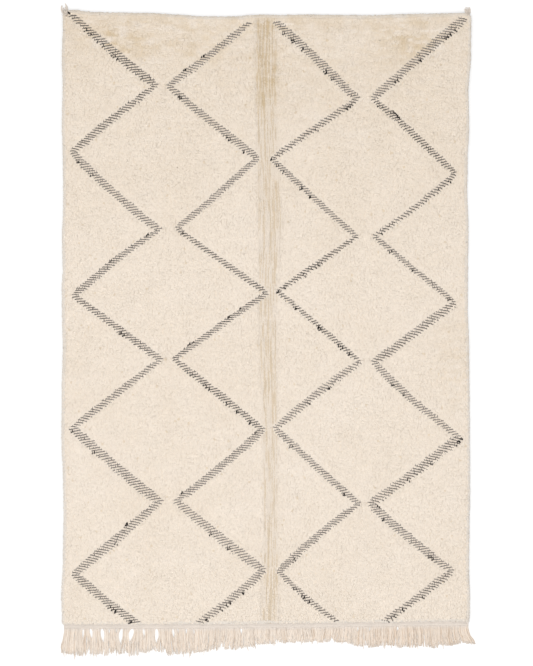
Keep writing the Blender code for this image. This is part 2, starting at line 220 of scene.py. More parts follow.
ARMS = [(zigzag, arm, *ends) for zigzag, turns in enumerate(ZIGZAGS)
        for arm, ends in enumerate(zip(turns, turns[1:]))]

# The strokes: one knotted row each, slightly S-shaped, hooked and darker at the tied end.
STROKE = Measures(
    pitch=0.0083, half_band=0.00168, stretch=1.04, end_room=0.0035, bow=0.0006, hook=0.0016,
    hook_start=0.4, end_length=0.70, end_growth=0.30, end_run=8, least=0.86, most=1.12,
    east_scatter=0.0011, north_scatter=0.0003, fall_scatter=2.0, least_reach=0.0040,
    root_inset=0.0090)
STROKE_WAVER = Noise(0.003, 1.0, 61)
STROKE_SWELL = Noise(0.16, 1.0, 62)
WAVER = Measures(along=3, apart=7)
SWELLS = Measures(along=4, apart=5)
TONES = Measures(strokes=0.14, slope=0.18, pale=0.30, pale_start=0.7, pale_run=0.3, locks=0.04)
DARK = Measures(spacing=0.0034, turn=2.0, scatter=0.012, along=0.0001)
BETWEEN = Measures(
    spacing=0.0038, turn=4.0, scatter=0.02, across=0.0004, along=0.0002, overhang=0.0060)

# Near-black wool: stray ends of strokes, runs of strokes that are tied off in it at an arm's
# east or west side, and a knot at one corner.
SPECK = Measures(
    lift=0.0010, share=0.70, strays=0.05, back=0.005, past=0.002, fewest=2, most=3, least_fall=0.2,
    turn=8, scatter=0.04, knot_scatter=0.02)
SPECK_RUNS = table("zigzag arm side first last", 0, [
    (0, 0, -1, 0.18, 0.23), (0, 0, -1, 0.35, 0.43), (0, 0, -1, 0.53, 0.65), (0, 7, 1, 0.52, 0.58),
    (0, 6, -1, 0.03, 0.07), (0, 8, -1, 0.21, 0.25), (0, 8, -1, 0.64, 0.80), (0, 8, -1, 0.94, 1.00),
    (1, 1, -1, 0.13, 0.17), (1, 1, -1, 0.68, 0.73), (1, 5, -1, 0.15, 0.23), (1, 5, -1, 0.36, 0.50),
    (1, 5, -1, 0.62, 0.66), (1, 7, -1, 0.43, 0.47), (1, 8, 1, 0.42, 0.47), (1, 8, 1, 0.60, 0.76),
    (1, 8, 1, 0.90, 1.00), (2, 1, 1, 0.07, 0.20), (2, 1, 1, 0.83, 0.87), (2, 4, -1, 0.50, 0.57),
    (2, 4, -1, 0.78, 0.82), (2, 7, 1, 0.81, 0.86), (2, 8, -1, 0.45, 0.62), (3, 0, 1, 0.02, 0.07),
    (3, 0, 1, 0.13, 0.28), (3, 0, 1, 0.76, 0.81), (3, 1, 1, 0.20, 0.29), (3, 6, 1, 0, 0.12),
    (3, 6, 1, 0.37, 0.42), (3, 7, 1, 0.02, 0.08), (3, 8, 1, 0.02, 0.08), (3, 8, 1, 0.50, 0.56),
    (3, 8, 1, 0.74, 0.80), (3, 8, 1, 0.88, 0.98),
])
CORNER_KNOT = table("east north turn", 0, [
    (-0.7840, 1.1965, 48.0), (-0.7822, 1.1950, 54.0), (-0.7800, 1.1935, 44.0),
])

# The woven end's weft rows over and under the warps.
BAND = Measures(
    depth=0.021, west_inset=0.005, east_inset=0.001, thickness=0.0042, wefts=6, warp_pitch=0.0048,
    relief=0.00100, sunk=1.6, crest=0.6, edge=0.50, low_tip=0.15, high_tip=0.85, age=0.1)
BAND_RIPPLE = Wave(0.0006, 61, 1.9)
BAND_UNDERSIDE = table("share height", 0, [(1.0, 0.0004), (0.9, 0.0), (0.1, 0.0), (0.0, 0.0004)])

# The overcast selvedge along the sides and the far end.
SELVEDGE = Measures(
    radius=0.0027, step=0.0042, wrap=0.0094, inset=0.0026, corner=0.012, arc_steps=7, start=0.001,
    bulge=0.06, sides=6, tip=0.8, age=0.1)

# The fringe's yarns, the clumps that they gather in, and how they sweep, sway, flare, stray
# and curl on their way to the tips.
YARN = Measures(
    rings=9, sides=5, radius=0.00148, thinnest=0.85, thickest=1.15, taper=0.40, taper_start=0.75,
    twist=1.9, lobes=0.14, ring_spread=1.25)
FRINGE = Measures(
    yarns=1420, inset=0.002, end_yarns=26, end_reach=0.036, under_band=0.0045, jitter=0.0004,
    band_fade=0.020)
CLUMP = Measures(
    narrow=0.008, wide=0.030, gather=0.06, gather_run=1.6, lengths=0.042, swing=0.0007,
    sway=0.0015, sway_turn=6.0)
LENGTHS = Measures(wisps=0.030, wisp=0.15, scatter=0.22, scatter_power=2.5)
LENGTH_UNEVEN = Noise(0.025, 0.005, 92)
SWEEPS = (Wave(0.0062, 11.0, 0.9), Wave(0.0034, 27.0, 3.7))
SWEEP = Measures(length=0.085, power=1.4)
SWAY = Wave(0.0026, 17.0, 2.2)
SWAY_TURN = 5.5
FLARE = Measures(west=0.011, east=0.026, reach=0.050, run=0.5)
STRAY = Measures(scatter=0.0016, power=1.6)
CURL = Measures(height=0.0011, slow=6, fast=15, turn=6.3, at_root=0.3)
LIFT = Measures(least=0.0014, most=0.0022, run=5, lost=0.6, power=1.5)
TANNED = Measures(share=0.20, amount=0.50)
YARN_AGE = Measures(base=0.13, scatter=0.10, at_band=0.3, below=0.7)
YARN_AGE_EAST = Ramp(0.17, 0.1, 0.6)
SLOT = Measures(reach=0.014, root=0.25, power=0.85)
FRINGE_LENGTH = table("along length", 2, [
    (-810, 102), (-750, 111), (-680, 105), (-620, 107), (-550, 101), (-460, 93), (-420, 96),
    (-380, 107), (-340, 101), (-300, 105), (-250, 99), (-200, 87), (-130, 88), (-70, 79), (10, 60),
    (70, 64), (150, 60), (300, 64), (340, 73), (370, 85), (430, 83), (510, 81), (540, 90),
    (580, 83), (640, 87), (700, 81), (760, 75), (810, 79),
])
FRINGE_SLOTS = table("east width length lean", 3, [
    (-718, 8.5, 44, 0), (-691, 12, 44, 0.20), (-645, 16, 56, 0.12), (-617, 5, 26, 0),
    (-587, 5, 22, 0), (-567, 16.5, 68, -0.22), (-525, 20, 58, -0.38), (-482, 9, 34, 0),
    (-431, 16, 66, 0.04), (-365, 9.5, 42, 0.05), (-348, 5, 22, 0), (-313, 6.5, 30, 0),
    (-284, 5.5, 34, 0.10), (-96, 8.5, 26, 0), (363, 6.5, 22, 0), (410, 6, 22, 0),
    (520, 7.5, 24, 0),
])
NOTCHES = table("east width depth", 2, [
    (-404, 9, 0.22), (-166, 6, 0.32), (264, 6, 0.32), (-600, 6, 0.10),
])

# The corner tassels, and their clumps, each bent through a point beside the heading.
TasselPlace = namedtuple("TasselPlace", "east north heading neck_width tail perch")
LEFT_TASSEL = TasselPlace(-0.7905, 1.2077, 118.0, 0.0075, 0.0180, 0.0225)
RIGHT_TASSEL = TasselPlace(0.7960, 1.2060, 90.0, 0.0070, 0.0120, 0.0125)
TASSEL_CLUMP = "bend_along bend_out tip_along tip_out yarns"
LEFT_CLUMPS = table(TASSEL_CLUMP, 0, [
    (0.0180, 0.0165, -0.0017, 0.0316, 11), (0.0100, 0.0060, 0.0050, 0.0215, 6),
    (0.0000, 0.0040, -0.0030, 0.0205, 6), (-0.0080, 0.0040, -0.0090, 0.0190, 6),
    (-0.0165, 0.0105, -0.0160, 0.0318, 10),
])
RIGHT_CLUMPS = table(TASSEL_CLUMP, 0, [
    (-0.0120, 0.0060, -0.0104, 0.0170, 8), (-0.0060, 0.0070, -0.0062, 0.0232, 8),
    (0.0000, 0.0070, 0.0002, 0.0218, 8), (0.0060, 0.0070, 0.0064, 0.0236, 8),
    (0.0120, 0.0060, 0.0106, 0.0165, 8),
])
TASSEL = Measures(
    rings=10, radius=0.00150, taper=0.55, taper_power=2.5, bend_scatter=0.0022, tip_scatter=0.0012,
    shortest=0.86, level=0.0012, layer=0.0017, layers=3, sink=0.45, off_pile=0.05, drop_run=0.42,
    age=0.2)
TASSEL_WAVE = Wave(0.0006, 9, 2.0)

# Yarn colours, as linear red, green and blue.
IVORY_AGED = (0.600, 0.458, 0.275)
WARP_AGED = (0.630, 0.500, 0.385)
WARP_ROOT = (0.722, 0.655, 0.595)
GREY_YARN = (0.700, 0.655, 0.605)

# The wool finishes.
LOOKS = table("name tip root aged strand mottle fibre across along relief sheen", 0, [
    # The pile's root colours, darker than their tips, are partly the wool's own tone and partly
    # painted shade deep in the pile.
    ("ivory_pile_wool", (0.860, 0.777, 0.688), (0.799, 0.711, 0.621), IVORY_AGED,
     0.05, 0.04, 0.30, 8.0, 1.2, 0.80, 0.10),
    ("smoked_ivory_wool", (0.800, 0.716, 0.630), (0.690, 0.612, 0.538), IVORY_AGED,
     0.10, 0.06, 0.30, 6.0, 1.2, 0.70, 0.10),
    # Rim wool: greyer and darker than the ivory, as painted shade on the pile's rounded edge.
    ("pale_rim_wool", (0.762, 0.712, 0.658), (0.735, 0.686, 0.634), IVORY_AGED,
     0.06, 0.06, 0.30, 8.0, 1.2, 0.80, 0.10),
    ("charcoal_pile_wool", (0.022, 0.018, 0.017), (0.018, 0.015, 0.014), (0.200, 0.176, 0.160),
     0.12, 0.10, 0.25, 3.0, 1.3, 0.30, 0.03),
    ("grey_selvedge_yarn", GREY_YARN, GREY_YARN, (0.5, 0.43, 0.33),
     0.12, 0.2, 0.1, 2.0, 1.0, 0.4, 0.05),
    ("pale_weft_yarn", (0.772, 0.696, 0.626), WARP_ROOT, WARP_AGED,
     0.14, 0.22, 0.08, 2.0, 1.0, 0.4, 0.05),
    ("undyed_warp_yarn", (0.795, 0.710, 0.626), WARP_ROOT, WARP_AGED,
     0.19, 0.08, 0.16, 2.0, 4.0, 0.35, 0.08),
    ("greyed_tassel_yarn", (0.740, 0.685, 0.630), (0.480, 0.425, 0.365), WARP_AGED,
     0.14, 0.08, 0.14, 2.0, 4.0, 0.35, 0.05),
])
WOOL = Measures(
    roughness=0.95, specular=0.15, sheen_roughness=0.6, relief_depth=0.0012, tip_power=0.55,
    strand_across=57.0, strand_along=31.0, fluff_scale=420.0)


# ---- plan of the lying rug

def smoothstep(value):
    """0 below 0, 1 above 1, and eased between."""
    share = np.clip(value, 0.0, 1.0)
    return share * share * (3.0 - 2.0 * share)


def between(corner, fx, fy):
    """The value inside a cell from its corners, at shares of the way across and along."""
    low = corner(0, 0) * (1 - fx) + corner(0, 1) * fx
    high = corner(1, 0) * (1 - fx) + corner(1, 1) * fx
    return low * (1 - fy) + high * fy


def noise(layer, x, y=0.0):
    """Smooth noise over the plan, with features about as wide as the layer's size."""
    cells = np.random.default_rng(layer.seed).uniform(-1.0, 1.0, (NOISE_CELLS, NOISE_CELLS))
    across = np.asarray(x, dtype=float) * layer.squash / layer.size + NOISE_START
    along = np.asarray(y, dtype=float) / layer.size + NOISE_START
    column = np.floor(across).astype(int)
    row = np.floor(along).astype(int)

    def corner(up, right):
        return cells[(row + up) % NOISE_CELLS, (column + right) % NOISE_CELLS]

    return layer.amount * between(corner, smoothstep(across - column), smoothstep(along - row))


def risen(ramp, place):
    """How far a ramp has risen at a place."""
    return ramp.amount * smoothstep((place - ramp.start) / ramp.length)


def curve(rows, column, place):
    """A table's named column at places along its first one."""
    return np.interp(place, [row[0] for row in rows], [getattr(row, column) for row in rows])


def rounded_corners(x, y):
    """Points of the plan with the two far corners drawn in to quarter circles."""
    across = np.clip((np.abs(x) - HALF_WIDTH) / CORNER_RADIUS + 1, 0, 1)
    along = np.clip((y - HALF_LENGTH) / CORNER_RADIUS + 1, 0, 1)
    pull_x = across * (1 - np.sqrt(1 - along ** 2 / 2)) * CORNER_RADIUS
    pull_y = along * (1 - np.sqrt(1 - across ** 2 / 2)) * CORNER_RADIUS
    return x - np.sign(x) * pull_x, y - pull_y


class LyingRug:
    """The rug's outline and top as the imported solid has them."""

    def __init__(self, solid):
        tree = BVHTree.FromObject(solid, bpy.context.evaluated_depsgraph_get())

        def hit(start, direction):
            return tree.ray_cast(Vector(start), Vector(direction))[0]

        reach_y = HALF_LENGTH - PROBES.inset
        reach_x = HALF_WIDTH - PROBES.inset
        beside, beyond, height = PROBES.beside, PROBES.beyond, PROBES.height
        self.y = np.linspace(-reach_y, reach_y, PROBES.along_side)
        self.x = np.linspace(-reach_x, reach_x, PROBES.along_end)
        east = np.array([hit((beside, y, height), (-1, 0, 0)).x for y in self.y])
        west = np.array([hit((-beside, y, height), (1, 0, 0)).x for y in self.y])
        north = np.array([hit((x, beyond, height), (0, -1, 0)).y for x in self.x])
        south = np.array([hit((x, -beyond, height), (0, 1, 0)).y for x in self.x])
        self.east, self.west = east - HALF_WIDTH, -west - HALF_WIDTH
        self.north, self.south = north - HALF_LENGTH, -south - HALF_LENGTH
        self.north += SWELL.rise * np.exp(-((self.x - SWELL.east) / SWELL.reach) ** 2)
        self.tops = np.array([
            [hit((x, y, PROBES.above), (0, 0, -1)).z for x in self.x] for y in self.y
        ])

    def settle(self, x, y):
        """Where points of the straight-edged plan lie on the rug with its uneven edges."""
        x, y = rounded_corners(x, y)
        east = np.maximum(x / HALF_WIDTH, 0) * np.interp(y, self.y, self.east)
        west = np.maximum(-x / HALF_WIDTH, 0) * np.interp(y, self.y, self.west)
        north = np.maximum(y / HALF_LENGTH, 0) * np.interp(x, self.x, self.north)
        south = np.maximum(-y / HALF_LENGTH, 0) * np.interp(x, self.x, self.south)
        return x + east - west, y + north - south

    def top(self, x, y):
        """Height of the solid's top over points of the plan."""
        rows, columns = self.tops.shape
        before_last = 1.001
        across = np.clip(np.interp(x, self.x, np.arange(columns)), 0, columns - before_last)
        along = np.clip(np.interp(y, self.y, np.arange(rows)), 0, rows - before_last)
        column = across.astype(int)
        row = along.astype(int)

        def corner(up, right):
            return self.tops[row + up, column + right]

        return between(corner, across - column, along - row)

    def ground(self, x, y):
        """Height of the knotted ground under the pile."""
        return self.top(x, y) - PILE_HEIGHT + GROUND.height


RUG = LyingRug(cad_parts["pile_field"])


def fold_offset(x, y):
    """Distance east of the middle of the old fold."""
    return x - curve(FOLD, "east", y)


def fold_half(y):
    """How far the old fold's lines reach to either side."""
    return curve(FOLD, "half", y)


def wool_age(x, y):
    """How yellowed the wool is at points of the plan."""
    age = AGE_ALL_OVER + noise(AGE_BROAD, x, y) + noise(AGE_PATCHY, x, y)
    # Yellower and darker towards the far end.
    age = age + risen(FAR_END_TONE, y)
    age = age + (STREAKS_AGE + risen(STREAKS_FAR_END, y)) * noise(STREAKS, x, y)
    patches = 1 + noise(STAIN_PATCHES, x, y) + noise(STAIN_STREAKS, x, y)
    for stain in STAINS:
        away = ((x - stain.east) / stain.across) ** 2 + ((y - stain.north) / stain.along) ** 2
        age = age + stain.amount * np.exp(-away) * patches
    fold = np.exp(-(fold_offset(x, y) / fold_half(y)) ** 4)
    age = age + FOLD_AGE * fold * (1 + noise(FOLD_UNEVEN, x, y))
    return np.clip(age, 0.0, 1.0)


# ---- meshes

def add_mesh(name, points, face_sets, values=None, hidden_sets=None, soften=0.0):
    """An object from its points, arrays of faces of one size each, and numbers for each point.

    hidden_sets mark the faces that look down, and give the mesh a map from above. soften
    turns the shading towards straight up by that share, as a nap of fine fibres does.
    """
    mesh = bpy.data.meshes.new(name)
    corners = np.concatenate([faces.ravel() for faces in face_sets])
    sizes = np.concatenate([np.full(len(faces), faces.shape[1]) for faces in face_sets])
    mesh.vertices.add(len(points))
    mesh.vertices.foreach_set("co", np.asarray(points, dtype=np.float32).ravel())
    mesh.loops.add(len(corners))
    mesh.loops.foreach_set("vertex_index", corners.astype(np.int32))
    mesh.polygons.add(len(sizes))
    starts = np.concatenate([[0], np.cumsum(sizes)[:-1]])
    mesh.polygons.foreach_set("loop_start", starts.astype(np.int32))
    mesh.polygons.foreach_set("use_smooth", np.full(len(sizes), True))
    for label, numbers in (values or {}).items():
        layer = mesh.attributes.new(label, "FLOAT", "POINT")
        each = np.broadcast_to(numbers, len(points)).astype(np.float32)
        layer.data.foreach_set("value", each)
    if hidden_sets is not None:
        add_plan_map(mesh, points, corners, sizes, np.concatenate(hidden_sets))
    mesh.update(calc_edges=True)
    mesh.validate()
    if soften:
        normals = np.empty(len(points) * 3, dtype=np.float32)
        mesh.vertex_normals.foreach_get("vector", normals)
        normals = normals.reshape(-1, 3) * (1 - soften)
        normals[:, 2] += soften
        mesh.normals_split_custom_set_from_vertices(normalised(normals))
    piece = bpy.data.objects.new(name, mesh)
    bpy.context.scene.collection.objects.link(piece)
    return piece


def add_plan_map(mesh, points, corners, sizes, hidden):
    """A map from straight above in one half of the square, and the hidden faces in the other."""
    low = points.min(axis=0)
    size = points.max(axis=0) - low
    margin = 0.004
    across = (points[corners, 0] - low[0]) / size[0] * (0.5 - 2 * margin) + margin
    along = (points[corners, 1] - low[1]) / size[1] * (1 - 2 * margin) + margin
    across = across + 0.5 * np.repeat(hidden, sizes)
    layer = mesh.uv_layers.new(name="OFBake")
    layer.data.foreach_set("uv", np.column_stack([across, along]).astype(np.float32).ravel())


def normalised(vectors):
    """The vectors at length 1."""
    return vectors / np.linalg.norm(vectors, axis=-1, keepdims=True)


LOCK = np.dtype([(label, float) for label in ("x", "y", "z", "turn", "age", *LockForm._fields)])


def grow(x, y, z, turn, form, age, draw, scatter=LOCK_SCATTER):
    """Locks of pile of one form: where each grows, which way it lies, and its own size."""
    count = len(x)
    locks = np.zeros(count, dtype=LOCK)
    for label, given in (("x", x), ("y", y), ("z", z), ("turn", turn), ("age", age)):
        locks[label] = given
    for row in VARIATION:
        if row.share:
            amount = 1 + row.share * scatter * draw.standard_normal(count)
            amount = amount.clip(row.least, row.most)
        else:
            amount = draw.uniform(row.least, row.most, count)
        locks[row.measure] = getattr(form, row.measure) * amount
    return locks


def lock_mesh(name, locks, draw, soften):
    """All the locks as one mesh: a root, a belly and a curling tip, round-backed and closed."""
    count = len(locks)
    turn = np.radians(locks["turn"])
    heading = np.column_stack([np.sin(turn), -np.cos(turn), np.zeros(count)])
    left = np.column_stack([-heading[:, 1], heading[:, 0], np.zeros(count)])
    root = np.column_stack([locks["x"], locks["y"], locks["z"] - BUILD.root_depth])
    reach, rise, droop, belly_at, hump = (
        locks[label][:, None] for label in ("reach", "rise", "droop", "belly", "hump"))
    bend = draw.normal(0, BUILD.curl, count).clip(-2 * BUILD.curl, 2 * BUILD.curl)
    curl = left * (bend * locks["width"])[:, None]
    belly = root + heading * reach * belly_at + UP * rise * hump - curl / 2
    tip = root + heading * reach + UP * rise * (1 - droop) + curl
    back = normalised(UP * reach - heading * rise)
    half = left * locks["width"][:, None] / 2
    thick = back * locks["thickness"][:, None]
    hang = thick * (BUILD.hang + BUILD.droop_hang * droop)
    ridge = half * draw.uniform(-BUILD.ridge_shift, BUILD.ridge_shift, count)[:, None]
    corners = np.stack([
        root + half * BUILD.root_width, root - half * BUILD.root_width,
        belly + half - hang, belly - half - hang, belly + thick * BUILD.ridge + ridge, tip,
    ], axis=1)
    starts = (np.arange(count) * corners.shape[1])[:, None, None]
    quads = (LOCK_QUADS[None] + starts).reshape(-1, 4)
    triangles = (LOCK_TRIANGLES[None] + starts).reshape(-1, 3)
    values = {
        "tip": np.tile(LOCK_ALONG, count),
        "across": np.tile(LOCK_ACROSS, count),
        "strand": np.repeat(draw.uniform(0, 1, count), corners.shape[1]),
        "age": np.repeat(locks["age"], corners.shape[1]),
    }
    hidden = [np.full(len(quads), True), np.tile(LOCK_HIDDEN, count)]
    return add_mesh(name, corners.reshape(-1, 3), [quads, triangles], values, hidden, soften)


def tube_mesh(name, spines, radii, values, sides=YARN.sides, twist=0.0, lobes=0.0):
    """Closed round tubes along spines of equal point counts, with a two-ply twist."""
    count, steps, _ = spines.shape
    tangent = normalised(np.gradient(spines, axis=1))
    side = normalised(np.cross(tangent, UP))
    over = np.cross(side, tangent)
    angle = np.arange(sides) * 2 * math.pi / sides
    turning = angle[None, None, :] * 2 + np.arange(steps)[None, :, None] * twist
    lobed = radii[:, :, None] * (1 + lobes * np.cos(turning))
    points = (
        spines[:, :, None, :]
        + side[:, :, None, :] * (lobed * np.cos(angle))[..., None]
        + over[:, :, None, :] * (lobed * np.sin(angle))[..., None]
    )
    index = np.arange(count * steps * sides).reshape(count, steps, sides)
    ahead = np.roll(index, -1, axis=2)
    quads = np.stack([index[:, :-1], index[:, 1:], ahead[:, 1:], ahead[:, :-1]], axis=-1)
    ends = np.concatenate([index[:, 0], index[:, -1, ::-1]])
    spread = {label: np.broadcast_to(np.array(numbers)[..., None], index.shape).ravel()
              for label, numbers in values.items()}
    spread["across"] = np.tile(np.cos(angle), count * steps)
    return add_mesh(name, points.reshape(-1, 3), [quads.reshape(-1, 4), ends], spread)


# ---- pile

def lean_from_edges(locks):
    """Turn the outermost locks to the sides and shorten them, so none lies past the edge."""
    turn = np.radians(locks["turn"])
    east = smoothstep(1 - (HALF_WIDTH - locks["x"]) / EDGE.blend)
    west = smoothstep(1 - (HALF_WIDTH + locks["x"]) / EDGE.blend)
    near = np.maximum(east, west)
    heading_x = np.sin(turn) * (1 - EDGE.held * near) + EDGE.outward * (east - west)
    heading_y = -np.cos(turn) * (1 - EDGE.held * near)
    locks["turn"] = np.degrees(np.arctan2(heading_x, -heading_y))
    south = smoothstep(1 - (HALF_LENGTH + locks["y"]) / EDGE.blend)
    locks["reach"] *= (1 - EDGE.shorter * near) * (1 - EDGE.south_shorter * south)
    locks["rise"] *= 1 - EDGE.lower * near
    return locks


def field_locks(draw):
    """The ivory locks of the whole field but for the old fold, staggered from row to row."""
    half = HALF_WIDTH - PILE.side_inset
    x, y = np.meshgrid(np.arange(-half, half + PILE.column_pitch / 2, PILE.column_pitch), ROWS)
    x[1::2] += PILE.column_pitch / 2
    x = x.ravel() + draw.normal(0, PILE.column_pitch * PILE.jitter_across, x.size)
    y = y.ravel() + draw.normal(0, PILE.row_pitch * PILE.jitter_along, y.size)
    inside = np.abs(x) < HALF_WIDTH - PILE.side_inset * PILE.side_room
    inside &= np.abs(fold_offset(x, y)) > fold_half(y) + LINES.margin
    x, y = x[inside], y[inside]
    flecked = PILE.fleck_age * (draw.uniform(0, 1, len(x)) < PILE.fleck_share)
    turn = noise(LEAN_DRIFT, x, y) + PILE.lean_scatter * draw.standard_normal(len(x))
    locks = grow(x, y, RUG.ground(x, y), turn, FIELD_LOCK, wool_age(x, y) + flecked, draw)
    locks["z"] += sum(noise(layer, x, y) for layer in LUMPS)
    return lean_from_edges(locks)


def fold_locks(draw):
    """The narrow locks of the old fold, in columns painted yellower and darker here and there:
    partly yellowed roots, partly painted shade in the partings.
    """
    column, y = np.meshgrid(np.arange(-LINES.each_side, LINES.each_side + 1), ROWS)
    column, y = column.ravel(), y.ravel()
    wander = noise(LINE_WANDER, column, y / LINES.length)
    x = column * LINES.pitch - fold_offset(0.0, y) + wander
    inside = np.abs(fold_offset(x, y)) <= fold_half(y) + LINES.margin
    x, y, column = x[inside], y[inside], column[inside]
    shown = smoothstep(noise(LINE_SHOWS, column + 0.5, y / LINES.length) + LINES.shown)
    away = np.abs(fold_offset(x, y)) / fold_half(y)
    lined = shown * (1 - smoothstep((away - LINES.edge) * LINES.fade))
    turn = LINES.turn_scatter * draw.standard_normal(len(x))
    # LINES.age yellows and darkens the lined locks: partly yellowed roots, partly painted shade in
    # the partings.
    age = np.clip(wool_age(x, y) + LINES.age * lined, 0, 1)
    y = y + draw.normal(0, PILE.row_pitch * PILE.jitter_along, len(y))
    z = RUG.ground(x, y) - LINES.sunk * lined
    return lean_from_edges(grow(x, y, z, turn, FOLD_LOCK, age, draw))


def rim_locks(draw):
    """Rings of locks that stand out over the selvedge and over the woven end."""
    batches = []
    for ring in RIM_RINGS:
        half_x = HALF_WIDTH - ring.inset
        half_y = HALF_LENGTH - ring.inset
        spacing = ring.form.width * RIM.spacing
        along = np.arange(-HALF_LENGTH + RIM.start, half_y, spacing)
        across = np.arange(-half_x, half_x, spacing)
        for side_x, side_y, outward in (
            (half_x, along, RIM.outward), (-half_x, along, -RIM.outward),
            (across, half_y, 180.0), (across, -half_y, 0.0),
        ):
            x, y = np.broadcast_arrays(side_x, side_y)
            x = x + draw.normal(0, RIM.across_scatter, len(x))
            y = y + draw.normal(0, RIM.along_scatter, len(y))
            turn = outward + draw.normal(0, RIM.turn_scatter, len(x))
            locks = grow(x, y, ring.height, turn, ring.form, wool_age(x, y), draw)
            if outward == 0.0:
                locks["reach"] *= RIM.south_reach + noise(SOUTH_RIM_UNEVEN, x)
                locks["rise"] *= RIM.south_rise
            batches.append(locks)
    return np.concatenate(batches)


# ---- lattice

def arm_middle(start, end, share):
    """How far east an arm's middle lies at shares of the way along it."""
    return start.east + (end.east - start.east) * share + start.bow * 4 * share * (1 - share)


def arm_strokes(start, end, draw):
    """Middles, half lengths and falls of one arm's strokes, from its upper end down."""
    count = max(2, round((start.north - end.north) / STROKE.pitch))
    share = (np.arange(count) + 0.5) / count
    waver = noise(STROKE_WAVER, share * WAVER.along + start.east * WAVER.apart, start.north)
    east = arm_middle(start, end, share) + waver + draw.normal(0, STROKE.east_scatter, count)
    north = start.north + (end.north - start.north) * share
    north = north + draw.normal(0, STROKE.north_scatter, count)
    from_end = smoothstep(np.minimum(share, 1 - share) * STROKE.end_run)
    ends = STROKE.end_length + STROKE.end_growth * from_end
    swell = 1 + noise(STROKE_SWELL, share * SWELLS.along + start.east * SWELLS.apart)
    uneven = draw.uniform(STROKE.least, STROKE.most, count)
    half = start.stroke / 2 * STROKE.stretch * ends * swell * uneven
    fall = start.fall + draw.normal(0, STROKE.fall_scatter, count)
    return zip(east, north, half, fall)


def over_lattice(locks):
    """Whether each lock's tip would show within the strokes' rows."""
    turn = np.radians(locks["turn"])
    x = locks["x"] + locks["reach"] * np.sin(turn)
    y = locks["y"] - locks["reach"] * np.cos(turn)
    inside = np.zeros(len(x), dtype=bool)
    for _, _, start, end in ARMS:
        share = (start.north - y) / (start.north - end.north)
        away = np.abs(x - arm_middle(start, end, share))
        inside |= (share > 0) & (share < 1) & (away < start.stroke / 2 + STROKE.end_room)
    return inside


def stroke_places(north, half, overhang, fall, spacing, tied, draw):
    """Steps east along a stroke's row, their shares of the way to its tied end, and norths."""
    reach = half + overhang
    along = np.linspace(-reach, reach, max(2, int(round(2 * reach / spacing)) + 1))
    bow = STROKE.bow * np.sin(along / reach * math.pi) * draw.uniform(0.0, 1.0)
    towards = tied * along / half
    hook = STROKE.hook * np.clip(towards - STROKE.hook_start, 0, 1) ** 2
    hook = hook / (1 - STROKE.hook_start) ** 2
    return along, towards, north + (bow - along * math.tan(math.radians(fall))) - hook


def held_back(locks):
    """The locks with roots drawn in from the far end, their tips staying where they were."""
    over = np.clip(locks["y"] - (HALF_LENGTH - STROKE.root_inset), 0, None)
    locks["y"] -= over
    locks["reach"] -= over
    return locks[locks["reach"] > STROKE.least_reach]


def dark_row(start, stroke, tied, draw):
    """The charcoal locks of one stroke."""
    east, north, half, fall = stroke
    along, towards, y = stroke_places(north, half, 0.0, fall, DARK.spacing, tied, draw)
    y = y + DARK_LOCK.reach - STROKE.half_band + draw.normal(0, DARK.along, len(along))
    worn = start.worn + TONES.strokes * draw.uniform(-1, 1) - TONES.slope * towards
    worn = worn + TONES.pale * np.clip(-towards - TONES.pale_start, 0, 1) / TONES.pale_run
    worn = worn + draw.normal(0, TONES.locks, len(along))
    turn = draw.normal(0, DARK.turn, len(along))
    x = east + along
    return held_back(grow(x, y, RUG.ground(x, y), turn, DARK_LOCK, np.clip(worn, 0, 1), draw,
                          DARK.scatter))


def specks(stroke, tied, draw):
    """The near-black locks that tie off one end of a stroke."""
    east, north, half, fall = stroke
    count = draw.integers(SPECK.fewest, SPECK.most + 1)
    off = np.linspace(-SPECK.back, SPECK.past, count)
    x = east + tied * (half + off)
    y = north - tied * half * math.tan(math.radians(fall)) - STROKE.hook
    y = y - (off + SPECK.past) * draw.uniform(SPECK.least_fall, 1.0)
    y = y + SPECK_LOCK.reach - STROKE.half_band
    return grow(x, y, RUG.ground(x, y) + SPECK.lift, draw.normal(0, SPECK.turn, count),
                SPECK_LOCK, 0.0, draw, SPECK.scatter)


def between_row(stroke, tied, draw):
    """The ivory locks between one stroke and the next, and each one's step from the middle."""
    east, north, half, fall = stroke
    along, _, y = stroke_places(north, half, BETWEEN.overhang, fall, BETWEEN.spacing, tied, draw)
    x = east + along + draw.normal(0, BETWEEN.across, len(along))
    y = y + BETWEEN_LOCK.reach + STROKE.half_band + draw.normal(0, BETWEEN.along, len(along))
    turn = draw.normal(0, BETWEEN.turn, len(x))
    return along, grow(x, y, RUG.ground(x, y), turn, BETWEEN_LOCK, wool_age(x, y), draw,
                       BETWEEN.scatter)


def lattice_rows(draw):
    """The charcoal and near-black locks, the ivory ones between strokes, and those beside."""
    dark, smoked, ivory = [], [], []
    for zigzag, arm, start, end in ARMS:
        tied = 1 if start.specks > 0 else -1
        runs = [run for run in SPECK_RUNS if (run.zigzag, run.arm) == (zigzag, arm)]
        above = (start.east, 0.0)
        for stroke in arm_strokes(start, end, draw):
            east, north, half, _ = stroke
            share = (start.north - north) / (start.north - end.north)
            dark.append(dark_row(start, stroke, tied, draw))
            sides = [run.side for run in runs if run.first <= share <= run.last]
            if draw.uniform(0, 1) < (SPECK.share if sides else SPECK.strays):
                dark.append(specks(stroke, sides[0] if sides else tied, draw))
            along, batch = between_row(stroke, tied, draw)
            enclosed = (np.abs(along) < half) & (np.abs(batch["x"] - above[0]) < above[1])
            smoked.append(held_back(batch[enclosed]))
            ivory.append(held_back(batch[~enclosed]))
            above = (east, half)
    x, y, turn = np.array(CORNER_KNOT).T
    dark.append(grow(x, y, RUG.ground(x, y) + SPECK.lift, turn, SPECK_LOCK, 0.0, draw,
                     SPECK.knot_scatter))
    return np.concatenate(dark), np.concatenate(smoked), np.concatenate(ivory)


# ---- ground, band, selvedge

